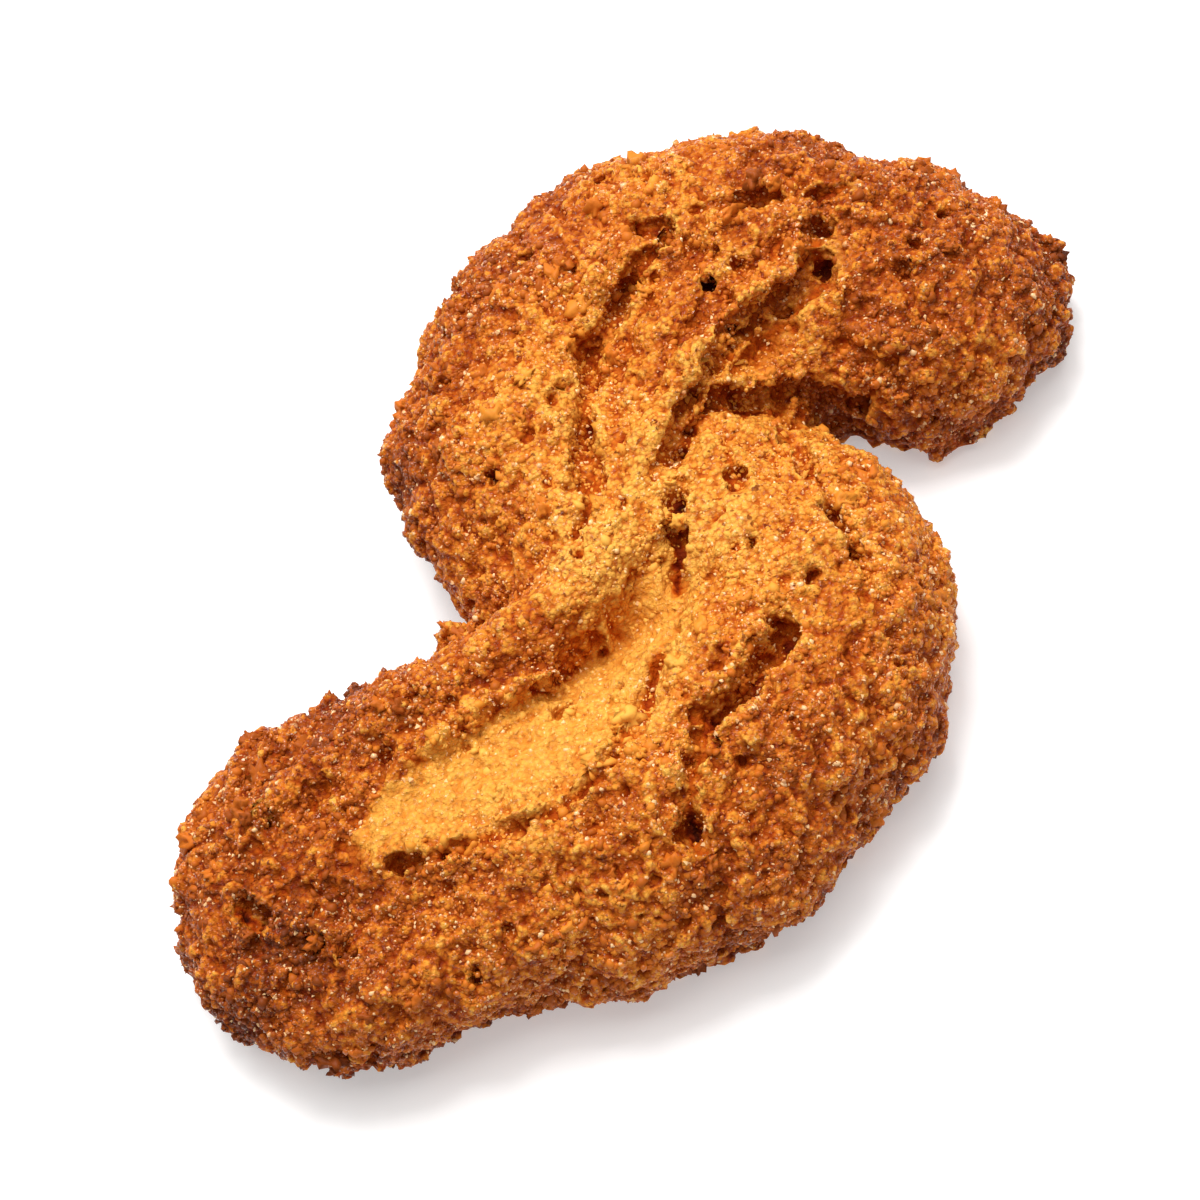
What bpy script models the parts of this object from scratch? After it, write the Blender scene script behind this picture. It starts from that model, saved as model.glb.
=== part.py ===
"""An S-shaped cookie: a thick rope of crumbly dough, bent into two curls and baked on a flat tray.

The rope is laid down as a row of overlapping flattened balls and fused into one body. The crust is
then split where the baked dough opened, roughened into crags, and cut flat where it lay on the tray.
+Z is up, the tray is at z = 0, and sizes are in millimetres until the mesh is made.
"""

import bmesh
import bpy
import numpy as np
from mathutils import Vector, noise

MM = 0.001

# The rope, seen from above: its middle line from the upper end to the lower end
ROPE_LINE = [(32.6, 9.0), (26.2, 18.3), (10.1, 25.1), (-4.6, 12.1), (2.1, 0.5),
             (16.9, -11.9), (-3.4, -23.5), (-16.7, -16.1), (-29.7, -15.1)]
ROPE_HALF_WIDTHS = [12.2, 12.9, 13.1, 13.3, 13.8, 13.3, 14.6, 16.1, 16.1]
ROPE_HEIGHTS = [14.8, 16.9, 16.9, 16.9, 16.9, 16.9, 16.9, 16.9, 14.8]
WIDEST_AT = 6.1
UNDERSIDE_DEPTH = 12.2

# The twisted ridge that runs over the top and joins both curls
RIDGE_LINE = [(-33.0, -10.3), (-25.4, -8.3), (-17.2, -7.5), (-9.1, -7.1), (-1.3, -5.5),
              (3.0, -1.8), (5.9, 2.8), (11.4, 7.0), (18.4, 10.5), (26.3, 13.5)]
RIDGE_HALF_WIDTHS = [4.0, 5.0, 5.5, 5.5, 5.5, 5.0, 5.0, 5.0, 4.5, 4.0]
RIDGE_HEIGHTS = [15.5, 16.6, 17.2, 17.2, 17.2, 17.4, 17.4, 17.2, 17.0, 16.5]

# The broad plate of crust between the ridge and the crack that runs up the upper curl
PLATE_LINE = [(4.6, 3.0), (6.8, 7.0), (9.8, 10.6), (13.6, 13.2), (18.2, 15.4), (23.5, 16.6)]
PLATE_HALF_WIDTHS = [3.5, 4.4, 4.8, 5.0, 5.0, 4.5]
PLATE_HEIGHTS = [16.4, 16.6, 16.9, 17.0, 17.0, 16.8]

# The inner fold, where the upper curl's wall slopes down to the waist beside the ridge
FOLD_LINE = [(9.5, 2.8), (15.0, 6.0), (20.5, 8.6), (26.5, 10.0)]
FOLD_HALF_WIDTHS = [3.0, 4.6, 5.6, 6.0]
FOLD_HEIGHTS = [12.5, 13.0, 14.2, 15.6]

# Lumps that stand out of the outline: middle in plan, half width, height
LUMPS = [((-14.4, -0.9), 1.9, 11.5), ((22.9, 29.6), 3.4, 12.0), ((36.5, 19.2), 3.6, 12.5),
         ((42.0, 8.0), 3.4, 9.0)]

BALL_SPACING = 1.0
VOXEL = 0.6
TRIANGLES = 13000
FLAT_BELOW = 0.06

# The wide split along the lower curl: middle line, half widths and how deep its pale floor lies
SPLIT_LINE = [(-30.0, -17.5), (-24.0, -17.0), (-17.5, -17.6), (-11.5, -17.4), (-6.0, -16.0),
              (-1.5, -13.5), (1.5, -10.6), (4.5, -7.5)]
SPLIT_HALF_WIDTHS = [0.8, 2.6, 4.6, 5.4, 5.2, 4.4, 3.0, 1.0]
SPLIT_DEPTHS = [0.3, 0.9, 1.9, 2.5, 2.6, 2.6, 2.4, 1.2]

# Each crack: points in plan, half width, depth, the side of its steep wall (1 left, -1 right, 0 both),
# and how deep its gentle wall reaches, as a share of the depth
CRACKS = {
    "up the upper curl": ([(-2.4, -2.5), (0.9, 1.3), (1.8, 3.8), (2.8, 6.8), (3.5, 9.1), (5.6, 11.6),
                           (6.2, 14.0), (7.6, 14.5), (10.2, 16.8), (12.7, 19.1), (15.4, 19.6),
                           (16.2, 20.5)], 1.1, 2.5, -1, 0.3),
    "over the top": ([(14.3, 22.4), (16.0, 21.3), (19.4, 20.9), (21.4, 20.2), (25.3, 19.6), (27.8, 17.9),
                      (31.7, 16.9), (32.8, 18.4)], 0.9, 1.3, 1, 0.3),
    "foot of the ridge": ([(6.8, 0.0), (10.4, 3.6), (13.9, 6.3), (17.7, 8.6), (21.0, 9.4), (24.0, 9.8),
                           (25.8, 11.0), (26.5, 13.4), (28.0, 14.8)], 1.5, 2.4, 1, 0.6),
    "under the arm": ([(7.5, 0.8), (10.4, 3.4), (13.6, 4.7), (16.3, 4.3), (18.4, 3.9), (20.3, 3.8),
                       (22.6, 2.9), (24.8, 0.6)], 0.9, 1.8, 1, 0.4),
    "across the waist": ([(7.0, -2.1), (6.2, -3.4), (5.2, -5.1), (4.9, -6.3), (3.8, -7.3), (3.2, -9.2)],
                         0.9, 2.4, 0, 0.0),
    "over the right lobe": ([(9.6, -17.0), (8.4, -18.6), (6.3, -19.2), (5.3, -20.4), (3.9, -21.3),
                             (1.9, -21.4), (0.0, -21.1)], 1.1, 2.4, -1, 0.3),
    "down the front": ([(1.9, -21.4), (0.5, -22.1), (-0.9, -23.7), (-2.5, -25.5), (-3.8, -27.3),
                        (-4.3, -29.9)], 1.0, 1.9, 0, 0.0),
    "below the split": ([(0.8, -12.5), (-1.4, -15.0), (-4.6, -19.1), (-8.2, -21.9), (-13.6, -22.7),
                         (-21.1, -21.3), (-26.4, -19.6)], 0.9, 1.2, -1, 0.4),
    "right shoulder": ([(17.6, 1.0), (17.8, -2.7), (17.1, -5.0), (17.5, -8.5), (17.1, -9.9), (17.7, -12.5),
                        (17.9, -14.5), (17.5, -16.6)], 0.9, 1.5, -1, 0.35),
    "left end": ([(-39.0, -15.5), (-38.2, -17.0), (-37.3, -18.4)], 1.0, 1.8, 0, 0.0),
}

CRACK_RAGGED = 0.5
CRACK_RAGGED_LENGTH = 2.2
CRACK_FOOT = 2.0
GENTLE_WALL = 2.4

# Swells and crags of the crust: how far they stand proud and how wide they are
SWELL = (1.0, 8.0)
CRAGS = [(1.5, 3.6), (0.9, 1.9)]
CRAG_LEVEL = 0.4


def clear_scene():
    for thing in list(bpy.data.objects):
        bpy.data.objects.remove(thing, do_unlink=True)


def smooth_line(points, spacing):
    """Points at about equal spacing along a smooth curve that the given points pull into shape."""
    points = np.array(points, dtype=float)
    points = np.vstack([2 * points[0] - points[1], points, 2 * points[-1] - points[-2]])
    curve = []
    for a, b, c, d in zip(points, points[1:], points[2:], points[3:]):
        for t in np.linspace(0.0, 1.0, 40, endpoint=False):
            curve.append(((1 - t) ** 3 * a + (3 * t ** 3 - 6 * t ** 2 + 4) * b
                          + (-3 * t ** 3 + 3 * t ** 2 + 3 * t + 1) * c + t ** 3 * d) / 6)
    curve.append((points[-3] + 4 * points[-2] + points[-1]) / 6)
    curve = np.array(curve)
    travelled = np.insert(np.cumsum(np.linalg.norm(np.diff(curve, axis=0), axis=1)), 0, 0.0)
    stops = np.linspace(0.0, travelled[-1], int(travelled[-1] / spacing) + 2)
    return np.column_stack([np.interp(stops, travelled, curve[:, i]) for i in range(curve.shape[1])])


def spread_at(values, share):
    """The value at each share of the way along a row of values."""
    return np.interp(share, np.linspace(0, 1, len(values)), values)


def lay_balls(mesh, line, half_widths, heights):
    """A row of flattened balls, rounder above their widest level than below it."""
    centres = smooth_line(line, BALL_SPACING)
    share = np.linspace(0, 1, len(centres))
    for centre, half_width, height in zip(centres, spread_at(half_widths, share), spread_at(heights, share)):
        ball = bmesh.ops.create_icosphere(mesh, subdivisions=3, radius=1.0)["verts"]
        for vert in ball:
            up = height - WIDEST_AT if vert.co.z > 0 else UNDERSIDE_DEPTH
            vert.co = Vector((centre[0] + vert.co.x * half_width, centre[1] + vert.co.y * half_width,
                              WIDEST_AT + vert.co.z * up))


def distance_along(places, line):
    """For each place: distance in plan to the line, its share of the way along, and its side."""
    nearest = np.full(len(places), 1e9)
    share = np.zeros(len(places))
    side = np.ones(len(places))
    count = len(line) - 1
    for i in range(count):
        start, run = line[i], line[i + 1] - line[i]
        offset = places[:, :2] - start
        t = np.clip(offset @ run / (run @ run), 0, 1)
        gap = offset - t[:, None] * run
        distance = np.linalg.norm(gap, axis=1)
        closer = distance < nearest
        nearest[closer] = distance[closer]
        share[closer] = (i + t[closer]) / count
        side[closer] = np.sign(run[0] * gap[closer, 1] - run[1] * gap[closer, 0])
    return nearest, share, side


def ease(x):
    x = np.clip(x, 0, 1)
    return x * x * (3 - 2 * x)


def open_split(places):
    """The wide split: steep under the ridge on its far side, easing up to the near side."""
    distance, share, side = distance_along(places, smooth_line(SPLIT_LINE, 1.0))
    across = side * distance / spread_at(SPLIT_HALF_WIDTHS, share)
    far_wall = ease((1.12 - across) / 0.35)
    near_wall = ease((1.05 + across) / 0.8)
    top = ease((places[:, 2] - WIDEST_AT) / 4.0)
    places[:, 2] -= spread_at(SPLIT_DEPTHS, share) * far_wall * near_wall * top


def open_cracks(places, normals):
    """Narrow cracks, ragged along their edges, that run out at both ends and down the walls."""
    ragged = CRACK_RAGGED * np.array([noise.noise(Vector(place) / CRACK_RAGGED_LENGTH) for place in places])
    for points, half_width, depth, steep, gentle_share in CRACKS.values():
        distance, share, side = distance_along(places, np.array(points))
        wall = (distance + ragged) / half_width
        sharp = 1 - ease(wall)
        gentle = gentle_share * (1 - ease(wall / GENTLE_WALL))
        cut = depth * np.where(side * steep > 0, sharp, np.maximum(sharp, gentle))
        cut *= ease(np.minimum(share, 1 - share) * 8 + 0.3)
        cut *= ease((places[:, 2] - CRACK_FOOT) / WIDEST_AT)
        places -= normals * cut[:, None]


def raise_crags(places, normals):
    """Slow swells, and crags that are round on top and meet in sharp creases."""
    lift = np.zeros(len(places))
    for i, place in enumerate(places):
        lift[i] = SWELL[0] * noise.noise(Vector(place) / SWELL[1])
        for proud, wide in CRAGS:
            lift[i] += proud * (abs(noise.noise(Vector(place) / wide)) - CRAG_LEVEL)
    places += normals * lift[:, None]


def read(mesh):
    places = np.empty(len(mesh.vertices) * 3)
    mesh.vertices.foreach_get("co", places)
    normals = np.empty(len(mesh.vertices) * 3)
    mesh.vertices.foreach_get("normal", normals)
    return places.reshape(-1, 3), normals.reshape(-1, 3)


def apply_modifiers(thing):
    """Replaces the object's mesh by its evaluated one and takes the modifiers off."""
    graph = bpy.context.evaluated_depsgraph_get()
    solid = bpy.data.meshes.new_from_object(thing.evaluated_get(graph))
    thing.modifiers.clear()
    thing.data = solid


def fuse(thing):
    remesh = thing.modifiers.new("fuse", "REMESH")
    remesh.mode = "VOXEL"
    remesh.voxel_size = VOXEL
    remesh.adaptivity = 0.0
    apply_modifiers(thing)


def thin_out(thing):
    thing.data.calc_loop_triangles()
    decimate = thing.modifiers.new("thin", "DECIMATE")
    decimate.ratio = TRIANGLES / len(thing.data.loop_triangles)
    decimate.use_collapse_triangulate = True
    apply_modifiers(thing)


def soften(thing):
    """Takes the sharpest points off the crags."""
    mesh = bmesh.new()
    mesh.from_mesh(thing.data)
    bmesh.ops.smooth_vert(mesh, verts=mesh.verts, factor=0.5, use_axis_x=True, use_axis_y=True,
                          use_axis_z=True)
    mesh.to_mesh(thing.data)
    mesh.free()


def cut_flat(thing):
    """Cuts the dough at the tray, caps it, and moves it over its own middle."""
    mesh = bmesh.new()
    mesh.from_mesh(thing.data)
    every = mesh.verts[:] + mesh.edges[:] + mesh.faces[:]
    bmesh.ops.bisect_plane(mesh, geom=every, plane_co=(0, 0, 0), plane_no=(0, 0, -1),
                           dist=0.001, clear_outer=True)
    for vert in mesh.verts:
        if vert.co.z < FLAT_BELOW:
            vert.co.z = 0.0
    bmesh.ops.remove_doubles(mesh, verts=mesh.verts, dist=0.03)
    rim = [edge for edge in mesh.edges if edge.is_boundary]
    bmesh.ops.holes_fill(mesh, edges=rim, sides=0)
    bmesh.ops.triangulate(mesh, faces=[face for face in mesh.faces if len(face.verts) > 3])
    middle = [(max(v.co[i] for v in mesh.verts) + min(v.co[i] for v in mesh.verts)) / 2 for i in (0, 1)]
    bmesh.ops.translate(mesh, verts=mesh.verts, vec=(-middle[0], -middle[1], 0))
    bmesh.ops.scale(mesh, verts=mesh.verts, vec=(MM, MM, MM))
    bmesh.ops.recalc_face_normals(mesh, faces=mesh.faces)
    mesh.to_mesh(thing.data)
    mesh.free()
    print("moved by", [-value for value in middle])


def crust_material():
    material = bpy.data.materials.new("baked_crust")
    material.use_nodes = True
    shader = material.node_tree.nodes["Principled BSDF"]
    shader.inputs["Base Color"].default_value = (0.46, 0.17, 0.035, 1.0)
    shader.inputs["Roughness"].default_value = 0.62
    shader.inputs["Metallic"].default_value = 0.0
    return material


def build():
    clear_scene()
    dough = bmesh.new()
    lay_balls(dough, ROPE_LINE, ROPE_HALF_WIDTHS, ROPE_HEIGHTS)
    lay_balls(dough, RIDGE_LINE, RIDGE_HALF_WIDTHS, RIDGE_HEIGHTS)
    lay_balls(dough, PLATE_LINE, PLATE_HALF_WIDTHS, PLATE_HEIGHTS)
    lay_balls(dough, FOLD_LINE, FOLD_HALF_WIDTHS, FOLD_HEIGHTS)
    for middle, half_width, height in LUMPS:
        lay_balls(dough, [middle, middle], [half_width], [height])
    mesh = bpy.data.meshes.new("cookie")
    dough.to_mesh(mesh)
    dough.free()
    cookie = bpy.data.objects.new("cookie", mesh)
    bpy.context.collection.objects.link(cookie)
    fuse(cookie)
    places, normals = read(cookie.data)
    open_split(places)
    open_cracks(places, normals)
    raise_crags(places, normals)
    cookie.data.vertices.foreach_set("co", places.ravel())
    cookie.data.update()
    soften(cookie)
    thin_out(cookie)
    cut_flat(cookie)
    cookie.data.materials.clear()
    cookie.data.materials.append(crust_material())
    cookie.data.shade_smooth()
    cookie.data.set_sharp_from_angle(angle=1.0)


build()
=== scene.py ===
# %% [markdown]
# # An S-shaped butter cookie
#
# The object is one baked cookie: a thick rope of short dough, bent twice into an S and set on a tray.
# In the oven the crust browned and split, so the pale crumb shows in its cracks.
# This lesson follows the baker. It lays the rope, fuses it, lets it split, roughens the crust,
# browns it, and last of all sticks loose crumbs and sugar on it.
# Sizes are in millimetres while the dough is shaped, and in metres once a piece is finished.

# %% Load the frame
import itertools
import math

import bmesh
import bpy
import numpy as np
from mathutils import Matrix, Vector, noise


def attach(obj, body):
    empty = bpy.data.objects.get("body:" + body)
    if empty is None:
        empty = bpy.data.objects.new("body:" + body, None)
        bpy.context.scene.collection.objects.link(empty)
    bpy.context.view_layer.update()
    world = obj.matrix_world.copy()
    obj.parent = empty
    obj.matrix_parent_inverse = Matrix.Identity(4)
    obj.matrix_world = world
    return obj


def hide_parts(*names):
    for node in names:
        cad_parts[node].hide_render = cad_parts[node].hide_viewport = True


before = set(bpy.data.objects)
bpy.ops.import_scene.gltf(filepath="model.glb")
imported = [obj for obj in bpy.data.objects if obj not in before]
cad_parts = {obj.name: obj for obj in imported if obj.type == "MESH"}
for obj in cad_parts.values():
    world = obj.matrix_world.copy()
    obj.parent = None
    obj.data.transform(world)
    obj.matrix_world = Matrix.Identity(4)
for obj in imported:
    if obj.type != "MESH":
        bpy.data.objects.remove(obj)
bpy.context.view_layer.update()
MM = 0.001

# %% [markdown]
# ## The camera
#
# The photograph looks down on the cookie at about 60 degrees, and the cookie lies turned in the picture.
# A long lens keeps the far curl nearly as large as the near one. The turn is made by rolling the camera,
# so that the cookie itself can lie straight in its own frame.

# %% Camera
CAMERA_TARGET = Vector((-2.65, -3.2, 8.0)) * MM
CAMERA_ELEVATION = math.radians(60.0)
CAMERA_ROLL = math.radians(-26.8)
CAMERA_DISTANCE = 260 * MM
CAMERA_LENS = 95.7


def aim(thing, place, target, roll=0.0):
    """Puts a camera or a light at a place and turns it towards the target."""
    turn = (target - place).to_track_quat("-Z", "Y").to_matrix().to_4x4()
    thing.matrix_world = Matrix.Translation(place) @ turn @ Matrix.Rotation(roll, 4, "Z")


camera = bpy.data.objects.new("camera", bpy.data.cameras.new("camera"))
camera.data.lens = CAMERA_LENS
camera.data.clip_start = 0.01
bpy.context.collection.objects.link(camera)
bpy.context.scene.camera = camera
away = Vector((0.0, -math.cos(CAMERA_ELEVATION), math.sin(CAMERA_ELEVATION)))
aim(camera, CAMERA_TARGET + away * CAMERA_DISTANCE, CAMERA_TARGET, CAMERA_ROLL)
print("camera", round(CAMERA_DISTANCE / MM), "mm away with a", CAMERA_LENS, "mm lens")

# %% [markdown]
# ## The rope of dough
#
# A baker rolls a rope and bends it. A curve with a round bevel would pinch where the bends are tight,
# so the rope is laid as a row of overlapping flattened balls instead, like dabs from a piping bag.
# A twisted ridge joins both curls over the top. A broad plate of crust lies on one side of it, and a low
# fold slopes down to the waist on the other.
# A few lumps of dough stand out of the outline.

# %% Measures of the dough
ROPE_LINE = [(32.6, 9.0), (26.2, 18.3), (10.1, 25.1), (-4.6, 12.1), (2.1, 0.5),
             (16.9, -11.9), (-3.4, -23.5), (-16.7, -16.1), (-29.7, -15.1)]
ROPE_HALF_WIDTHS = [12.2, 12.9, 13.1, 13.3, 13.8, 13.3, 14.6, 16.1, 16.1]
ROPE_HEIGHTS = [14.8, 16.9, 16.9, 16.9, 16.9, 16.9, 16.9, 16.9, 14.8]
WIDEST_AT = 6.1
UNDERSIDE_DEPTH = 12.2

RIDGE_LINE = [(-33.0, -10.3), (-25.4, -8.3), (-17.2, -7.5), (-9.1, -7.1), (-1.3, -5.5),
              (3.0, -1.8), (5.9, 2.8), (11.4, 7.0), (18.4, 10.5), (26.3, 13.5)]
RIDGE_HALF_WIDTHS = [4.0, 5.0, 5.5, 5.5, 5.5, 5.0, 5.0, 5.0, 4.5, 4.0]
RIDGE_HEIGHTS = [15.5, 16.6, 17.2, 17.2, 17.2, 17.4, 17.4, 17.2, 17.0, 16.5]

PLATE_LINE = [(4.6, 3.0), (6.8, 7.0), (9.8, 10.6), (13.6, 13.2), (18.2, 15.4), (23.5, 16.6)]
PLATE_HALF_WIDTHS = [3.5, 4.4, 4.8, 5.0, 5.0, 4.5]
PLATE_HEIGHTS = [16.4, 16.6, 16.9, 17.0, 17.0, 16.8]

FOLD_LINE = [(9.5, 2.8), (15.0, 6.0), (20.5, 8.6), (26.5, 10.0)]
FOLD_HALF_WIDTHS = [3.0, 4.6, 5.6, 6.0]
FOLD_HEIGHTS = [12.5, 13.0, 14.2, 15.6]

LUMPS = [((-14.4, -0.9), 1.9, 11.5), ((22.9, 29.6), 3.4, 12.0), ((36.5, 19.2), 3.6, 12.5),
         ((42.0, 8.0), 3.4, 9.0)]
BALL_SPACING = 1.0

# The dough is shaped about the bends of its rope and then set over the middle of its own box
OVER_THE_MIDDLE = Vector((-0.25, 0.21, 0.0))


# %% Laying the balls
def smooth_line(points, spacing):
    """Points at about equal spacing along a smooth curve that the given points pull into shape."""
    points = np.array(points, dtype=float)
    points = np.vstack([2 * points[0] - points[1], points, 2 * points[-1] - points[-2]])
    curve = []
    for a, b, c, d in zip(points, points[1:], points[2:], points[3:]):
        for t in np.linspace(0.0, 1.0, 40, endpoint=False):
            curve.append(((1 - t) ** 3 * a + (3 * t ** 3 - 6 * t ** 2 + 4) * b
                          + (-3 * t ** 3 + 3 * t ** 2 + 3 * t + 1) * c + t ** 3 * d) / 6)
    curve.append((points[-3] + 4 * points[-2] + points[-1]) / 6)
    curve = np.array(curve)
    travelled = np.insert(np.cumsum(np.linalg.norm(np.diff(curve, axis=0), axis=1)), 0, 0.0)
    stops = np.linspace(0.0, travelled[-1], int(travelled[-1] / spacing) + 2)
    return np.column_stack([np.interp(stops, travelled, curve[:, i]) for i in (0, 1)])


def spread_at(values, share):
    """The value at each share of the way along a row of values."""
    return np.interp(share, np.linspace(0, 1, len(values)), values)


def lay_balls(mesh, line, half_widths, heights):
    """A row of flattened balls, rounder above their widest level than below it."""
    centres = smooth_line(line, BALL_SPACING)
    share = np.linspace(0, 1, len(centres))
    for centre, half_width, height in zip(centres, spread_at(half_widths, share), spread_at(heights, share)):
        ball = bmesh.ops.create_icosphere(mesh, subdivisions=3, radius=1.0)["verts"]
        for vert in ball:
            up = height - WIDEST_AT if vert.co.z > 0 else UNDERSIDE_DEPTH
            vert.co = Vector((centre[0] + vert.co.x * half_width, centre[1] + vert.co.y * half_width,
                              WIDEST_AT + vert.co.z * up))


dough_mesh = bmesh.new()
lay_balls(dough_mesh, ROPE_LINE, ROPE_HALF_WIDTHS, ROPE_HEIGHTS)
lay_balls(dough_mesh, RIDGE_LINE, RIDGE_HALF_WIDTHS, RIDGE_HEIGHTS)
lay_balls(dough_mesh, PLATE_LINE, PLATE_HALF_WIDTHS, PLATE_HEIGHTS)
lay_balls(dough_mesh, FOLD_LINE, FOLD_HALF_WIDTHS, FOLD_HEIGHTS)
for middle, half_width, height in LUMPS:
    lay_balls(dough_mesh, [middle, middle], [half_width], [height])
dough = bpy.data.objects.new("baked_dough", bpy.data.meshes.new("baked_dough"))
dough_mesh.to_mesh(dough.data)
dough_mesh.free()
bpy.context.collection.objects.link(dough)
print("balls of dough:", len(dough.data.vertices), "points")

# %% [markdown]
# ## One body
#
# Overlapping balls are not yet one cookie. A voxel remesh melts them into one closed skin of even squares,
# as baking melts the dabs of dough together. Joining them one by one with a Boolean would take far longer
# and leave long thin faces. The remesh also heals any place where the skin crosses itself,
# so it comes back once the crags are made.

# %% Fusing, reading and writing the skin
COARSE_SKIN = 0.36
FINE_SKIN = 0.24


def apply_modifiers(thing):
    """Replaces the object's mesh by its evaluated one and takes the modifiers off."""
    graph = bpy.context.evaluated_depsgraph_get()
    solid = bpy.data.meshes.new_from_object(thing.evaluated_get(graph))
    thing.modifiers.clear()
    thing.data = solid


def fuse(thing, voxel):
    remesh = thing.modifiers.new("fuse", "REMESH")
    remesh.mode = "VOXEL"
    remesh.voxel_size = voxel
    remesh.adaptivity = 0.0
    apply_modifiers(thing)
    print("fused at", voxel, "mm:", len(thing.data.vertices), "points")


def read(mesh, what="co"):
    """The places or the normals of all points, as rows of three numbers."""
    values = np.empty(len(mesh.vertices) * 3, dtype=np.float32)
    mesh.vertices.foreach_get(what, values)
    return values.reshape(-1, 3).astype(float)


def write(mesh, places):
    mesh.vertices.foreach_set("co", places.astype(np.float32).ravel())
    mesh.update()


def noise_at(places, size, shift=0.0):
    """Smooth noise from about -1 to 1, with swells of the given size in mm.

    The shift reads the noise at another place, so that no two patterns are alike.
    """
    return np.array([noise.noise(Vector(place)) for place in places / size + shift])


def ease(x):
    """A soft step: 0 below 0, 1 above 1, and no corner between."""
    x = np.clip(x, 0, 1)
    return x * x * (3 - 2 * x)


fuse(dough, COARSE_SKIN)

# %% [markdown]
# ## Splits and cracks
#
# The crust sets before the inside has finished rising, so it tears. A wide split opens along the lower
# curl: its far wall is steep under the ridge, and its pale floor eases up to the near side.
# Narrow cracks have one steep wall, where a plate of crust stands proud, and one wall that slopes away.
# Cutting with other solids would leave clean edges, so the skin is pushed in by its distance from each
# crack's line, and noise makes that distance ragged.

# %% Distance from a line in plan
def distance_along(places, line):
    """For each place: distance in plan to the line, its share of the way along, and its side."""
    nearest = np.full(len(places), 1e9)
    share = np.zeros(len(places))
    side = np.ones(len(places))
    count = len(line) - 1
    for i in range(count):
        start, run = line[i], line[i + 1] - line[i]
        offset = places[:, :2] - start
        t = np.clip(offset @ run / (run @ run), 0, 1)
        gap = offset - t[:, None] * run
        distance = np.linalg.norm(gap, axis=1)
        closer = distance < nearest
        nearest[closer] = distance[closer]
        share[closer] = (i + t[closer]) / count
        side[closer] = np.sign(run[0] * gap[closer, 1] - run[1] * gap[closer, 0])
    return nearest, share, side


# %% The wide split
SPLIT_LINE = [(-30.0, -17.5), (-24.0, -17.0), (-17.5, -17.6), (-11.5, -17.4), (-6.0, -16.0),
              (-1.5, -13.5), (1.5, -10.6), (4.5, -7.5)]
SPLIT_HALF_WIDTHS = [0.8, 2.6, 4.6, 5.4, 5.2, 4.6, 3.8, 2.2]
SPLIT_DEPTHS = [0.3, 0.9, 1.9, 2.5, 2.6, 2.6, 2.4, 1.2]
# The raggedness of its rims: part of the half width, and over how many mm
SPLIT_RAGGED = [(0.30, 3.2), (0.22, 1.3), (0.14, 0.7)]
# Where each wall begins and how wide it is, in half widths. The far wall is the steep one
FAR_WALL = (1.10, 0.16)
NEAR_WALL = (1.05, 0.7)
# The pale crumb reaches further to the near side than the floor does
PALE_REACH = 1.5
# The pale crumb begins within a ninth of the split's length
PALE_START = 9.0
# The floor's depth in the middle, and how much is added under the far wall
FLOOR_LEVEL = 0.75
FLOOR_SLOPE = 0.35
# The split fades out over this many mm above the widest level
SPLIT_FADE = 4.0
# A point of the sunken skin is looked up this many mm higher, about where it was before
BEFORE_SINKING = (0.0, 0.0, 2.2)


def split_shape(places):
    """How far each place lies in the split (0 crust, 1 floor), the depth there, and how pale its crumb is."""
    distance, share, side = distance_along(places, smooth_line(SPLIT_LINE, 1.0))
    across = side * distance / spread_at(SPLIT_HALF_WIDTHS, share)
    for amount, wide in SPLIT_RAGGED:
        across += amount * noise_at(places, wide, 5.0)
    far_wall = ease((FAR_WALL[0] - across) / FAR_WALL[1])
    near_wall = ease((NEAR_WALL[0] + across) / NEAR_WALL[1])
    top = ease((places[:, 2] - WIDEST_AT) / SPLIT_FADE)
    pale = far_wall * ease((PALE_REACH + across) / PALE_REACH) * ease(share * PALE_START) * top
    slope = FLOOR_LEVEL + FLOOR_SLOPE * np.clip(across, -1, 1)
    return far_wall * near_wall * top, slope * spread_at(SPLIT_DEPTHS, share), pale


def bare_crumb(places):
    """How pale the bare crumb is at each place of the skin once the split has sunk."""
    return split_shape(places + BEFORE_SINKING)[2]


places = read(dough.data)
inside, depth = split_shape(places)[:2]
places[:, 2] -= inside * depth
write(dough.data, places)
print("split floor covers", int((inside > 0.8).sum()), "points")

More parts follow.
